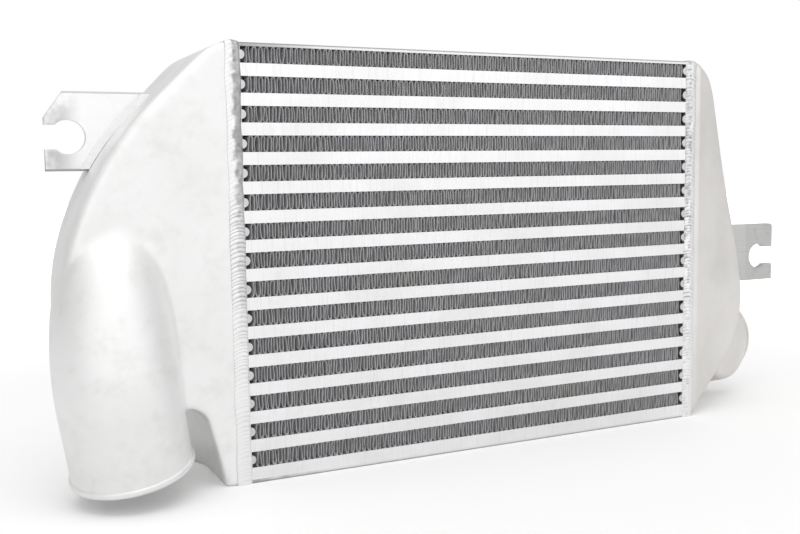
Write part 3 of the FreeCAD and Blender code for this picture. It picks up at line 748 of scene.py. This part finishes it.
def welded(finish):
    """Bright beads with valleys between the drops darkened by painted shade and soot, a grey bloom towards
    the core that grows upwards, most of all on the left, and a thin painted shadow in the undercut at the
    tank's side."""
    hot = finish.noise(160.0, 3.0, 0.6)
    grain = finish.noise(1500.0, 2.0, 0.6)
    height = finish.axis("Z") / MM
    upper = height.step(140.0, 168.0)
    middle = height.step(75.0, 110.0)
    left_side = 1 - (finish.axis("X") / MM).step(-100.0, 100.0)
    valley = finish.stored("valley")
    core_side = finish.stored("core_side")             # -1 at the tank's side of the bead, 1 at the core's
    near_core = (core_side + 1.4 * (hot - 0.5)).step(-0.3, 0.25)
    # painted shade, with soot, in the valleys between the drops
    bright = finish.blend(valley * (0.75 + 0.25 * near_core), (0.94, 0.94, 0.945), (0.25, 0.25, 0.27))
    bloom = (0.45 + 0.55 * left_side) * (0.65 * upper + 0.35 * middle * left_side)
    bloom = bloom * near_core * (0.7 + 0.3 * hot.step(0.4, 0.62))
    greyed = finish.blend(bloom, bright, (0.42, 0.42, 0.42))
    # painted shadow in the undercut at the tank's side of the bead, in the lower part
    undercut_shadow = (1 - core_side.step(-0.98, -0.86)) * (1 - upper) * hot.step(0.38, 0.5)
    return {
        "Base Color": finish.blend(0.7 * undercut_shadow, greyed, (0.30, 0.30, 0.31)),
        "Metallic": 1.0,
        "Roughness": 0.34 + 0.18 * hot,
        "Normal": finish.bump(grain, 0.08, 0.4),
    }


weld_metal = metal("weld_bead", welded)


def bead_path(step):
    """Up the front, over the top and down the rear, a little below the surface, with round corners.
    Gives places and the directions that the bead's crown faces, both in the YZ plane."""
    side, top = CORE_DEPTH / 2 - SUNK, CORE_HEIGHT - SUNK
    straight = np.arange(0, top - CORNER, step)
    swing = np.linspace(0, math.pi / 2, 9)[1:-1]
    over = np.arange(-(side - CORNER), side - CORNER, step)
    front = np.c_[np.full(len(straight), -side), straight]
    outwards = np.c_[-np.cos(swing), np.sin(swing)]
    bend = [CORNER - side, top - CORNER] + CORNER * outwards
    level = np.c_[over, np.full(len(over), top)]
    mirror = [-1, 1]
    places = np.vstack([front, bend, level, (bend * mirror)[::-1], (front * mirror)[::-1]])
    crown = np.vstack([
        np.tile((-1.0, 0.0), (len(front), 1)), outwards, np.tile((0.0, 1.0), (len(level), 1)),
        (outwards * mirror)[::-1], np.tile((1.0, 0.0), (len(front), 1)),
    ])
    return places, crown


def root_run(middle, first):
    """A square ring that fills the gap from its outer face to the wall's depth. Gives its points and
    its faces, whose numbers start at the first."""
    corners = np.array([(-1, 0), (1, 0), (1, 1), (-1, 1)])
    rings = []
    for inset in (0.2, TANK_WALL):
        side, top = CORE_DEPTH / 2 - inset, CORE_HEIGHT - inset
        rings.append(np.c_[corners[:, 0] * side, np.where(corners[:, 1] > 0, top, inset)])
    root = np.vstack(rings)
    points = np.vstack([np.c_[np.full(8, middle + side * ROOT_GAP / 2), root] for side in (-1, 1)])
    k = np.arange(4)
    n = (k + 1) % 4
    faces = np.vstack([
        np.c_[k, n, 8 + n, 8 + k], np.c_[12 + k, 12 + n, 4 + n, 4 + k],
        np.c_[4 + k, 4 + n, n, k], np.c_[8 + k, 8 + n, 12 + n, 12 + k],
    ])
    return points, faces + first


def lumps(chance, run, across):
    """Unevenness over the bead: chance heights a lump apart, joined smoothly both ways."""
    lump, wide = 2.2, 5
    heights = chance.normal(0, 1, (int(run[-1] / lump) + 3, wide + 1))
    along, over = np.broadcast_arrays(run[:, None] / lump, (across + 1) / 2 * (wide - 0.1))
    i, j = along.astype(int), over.astype(int)
    u, w = smooth_share(along - i, 0, 1), smooth_share(over - j, 0, 1)
    return ((heights[i, j] * (1 - u) + heights[i + 1, j] * u) * (1 - w)
            + (heights[i, j + 1] * (1 - u) + heights[i + 1, j + 1] * u) * w)


def tank_weld(name, node, side, seed, depth, lumpy):
    """The crown is a low arc; drops overlap as crescents, each a half sine along the bead, set back by
    the square of the distance from its middle. Width and ripple vary slowly along the bead."""
    chance = np.random.default_rng(seed)
    places, crown = bead_path(step=0.46)
    run = np.r_[0, np.cumsum(np.linalg.norm(np.diff(places, axis=0), axis=1))]
    before_foot = 3.0
    drops = np.cumsum(chance.uniform(0.6, 1.4, int(run[-1] / DROP) + 30) * DROP) - before_foot
    across = np.linspace(-1, 1, 17)
    slow = np.interp(run, np.linspace(0, run[-1], 60), chance.normal(0, 1, 60))[:, None]
    waver = np.interp(run, np.linspace(0, run[-1], 90), chance.normal(0, 1, 90))[:, None]
    uneven = lumps(chance, run, across)
    set_back = 1.5 * across ** 2 + 0.8 * side * across
    drop = np.interp(run[:, None] + set_back, drops, np.arange(len(drops)))
    wave = np.abs(np.sin(math.pi * drop)) ** 0.7 - 0.6
    heights = places[:, 1:]
    strength = depth(heights) * (1 + 0.3 * slow)
    roughened = lumpy(heights) * smooth_share(-side * across, -0.6, 0.1)
    arc = (1 - across ** 2) ** 0.8
    rise = arc * (BEAD_RISE * (0.85 + 0.1 * slow) + strength * wave + 0.28 * roughened * uneven)
    rise = rise + SUNK * (arc > 0)
    half = BEAD_WIDTH / 2 * (1 + 0.05 * waver + 0.05 * wave * (strength > 0.1))
    gap_middle = side * (FLANGE - ROOT_GAP / 2)
    towards_core = 0.6
    x = gap_middle - side * towards_core + across * half
    points = np.stack([x, places[:, :1] + crown[:, :1] * rise, places[:, 1:] + crown[:, 1:] * rise], -1)
    rows, count = points.shape[:2]
    points = points.reshape(-1, 3)
    root_points, root_faces = root_run(gap_middle, len(points))
    ends = [list(range(count))[::-1], list(range(len(points) - count, len(points)))]
    flat = ends + root_faces.tolist()
    round_faces = loop_faces(rows, count, closed=False).tolist()
    mesh = bpy.data.meshes.new(name)
    mesh.from_pydata((np.vstack([points, root_points]) * MM).tolist(), [], round_faces + flat)
    mesh.polygons.foreach_set("use_smooth", np.arange(len(mesh.polygons)) < len(round_faces))
    # the valley share marks where painted shade and soot darken the bead: the dips between drops and lumps
    valley = np.clip((0.15 - wave) / 0.7, 0, 1) * np.clip(strength / 0.3, 0, 1)
    valley = np.clip(valley + roughened * (0.15 - 0.45 * uneven), 0, 1)
    for key, value in (("valley", valley), ("core_side", np.broadcast_to(-side * across, valley.shape))):
        stored = mesh.attributes.new(key, "FLOAT", "POINT")
        stored.data.foreach_set("value", np.r_[value.ravel(), np.zeros(len(root_points))].astype(np.float32))
    mesh.materials.append(weld_metal)
    bead = bpy.data.objects.new(name, mesh)
    bpy.context.scene.collection.objects.link(bead)
    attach(bead, "root")
    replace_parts(bead, node)


def left_ripple(height):
    """Nearly flat at the foot, deep in the middle and flat again where the bead is lumpy."""
    return 0.06 + 0.26 * smooth_share(height, 50, 120) - 0.25 * smooth_share(height, 150, 170)


def left_lumps(height):
    """None below and all of it above."""
    return smooth_share(height, 140, 165)


def right_ripple(height):
    """Shallow at the foot and twice as deep above."""
    return 0.10 + 0.10 * smooth_share(height, 40, 120)


def right_lumps(height):
    """Some everywhere, and more above."""
    return 0.25 + 0.45 * smooth_share(height, 60, 140)


tank_weld("left_weld_bead", "left_tank_weld", -1, 7, left_ripple, left_lumps)
tank_weld("right_weld_bead", "right_tank_weld", 1, 8, right_ripple, right_lumps)


# Brackets
# Sawn from plate, with marks across it, and welded to the outer wall along both of their faces.
def sawn(pale, dark):
    """The finish of a plate between those two tones."""
    def write(finish):
        marks = finish.noise(60.0, 3.0, 0.6, (0.5, 1.0, 14.0))
        blots = finish.noise(70.0, 3.0, 0.6)
        return {
            "Base Color": finish.blend(0.6 * marks + 0.6 * blots.step(0.5, 0.7), pale, dark),
            "Metallic": 1.0,
            "Roughness": 0.36 + 0.14 * marks,
            "Normal": finish.bump(marks, 0.08, 0.5),
        }
    return write


def left_sawn(finish):
    """The left plate is bright, with painted shade on the tips and along the lower edge and a darker top
    edge.
    """
    sockets = sawn((0.97, 0.97, 0.975), (0.92, 0.92, 0.93))(finish)
    # painted shade in blotches on the tips beside the slot
    tip_shade = (1 - (finish.axis("X") / MM).step(-254.0, -238.0)) * finish.noise(90.0).step(0.3, 0.55)
    height = finish.axis("Z") / MM
    # painted shade on the lower edge, whose face turns down, away from the light
    low_edge_shade = 1 - height.step(181.2, 182.0)
    high_edge = height.step(223.0, 223.6)
    darkened = finish.blend(0.8 * tip_shade, sockets["Base Color"], (0.50, 0.50, 0.51))
    sockets["Base Color"] = finish.blend(low_edge_shade + 0.5 * high_edge, darkened, (0.36, 0.36, 0.37))
    return sockets


dress("left_bracket", metal("left_bracket_plate", left_sawn))
# the right plate has the same sawn finish in darker tones: painted shade, as it sits in less light than the
# left one
dress("right_bracket", metal("right_bracket_plate", sawn((0.62, 0.62, 0.61), (0.46, 0.46, 0.45))))
fillet_bead = metal("bracket_bead", sawn((0.93, 0.93, 0.93), (0.78, 0.78, 0.78)))
for name in ["left_bracket_weld", "right_bracket_weld"]:
    dress(name, fillet_bead)
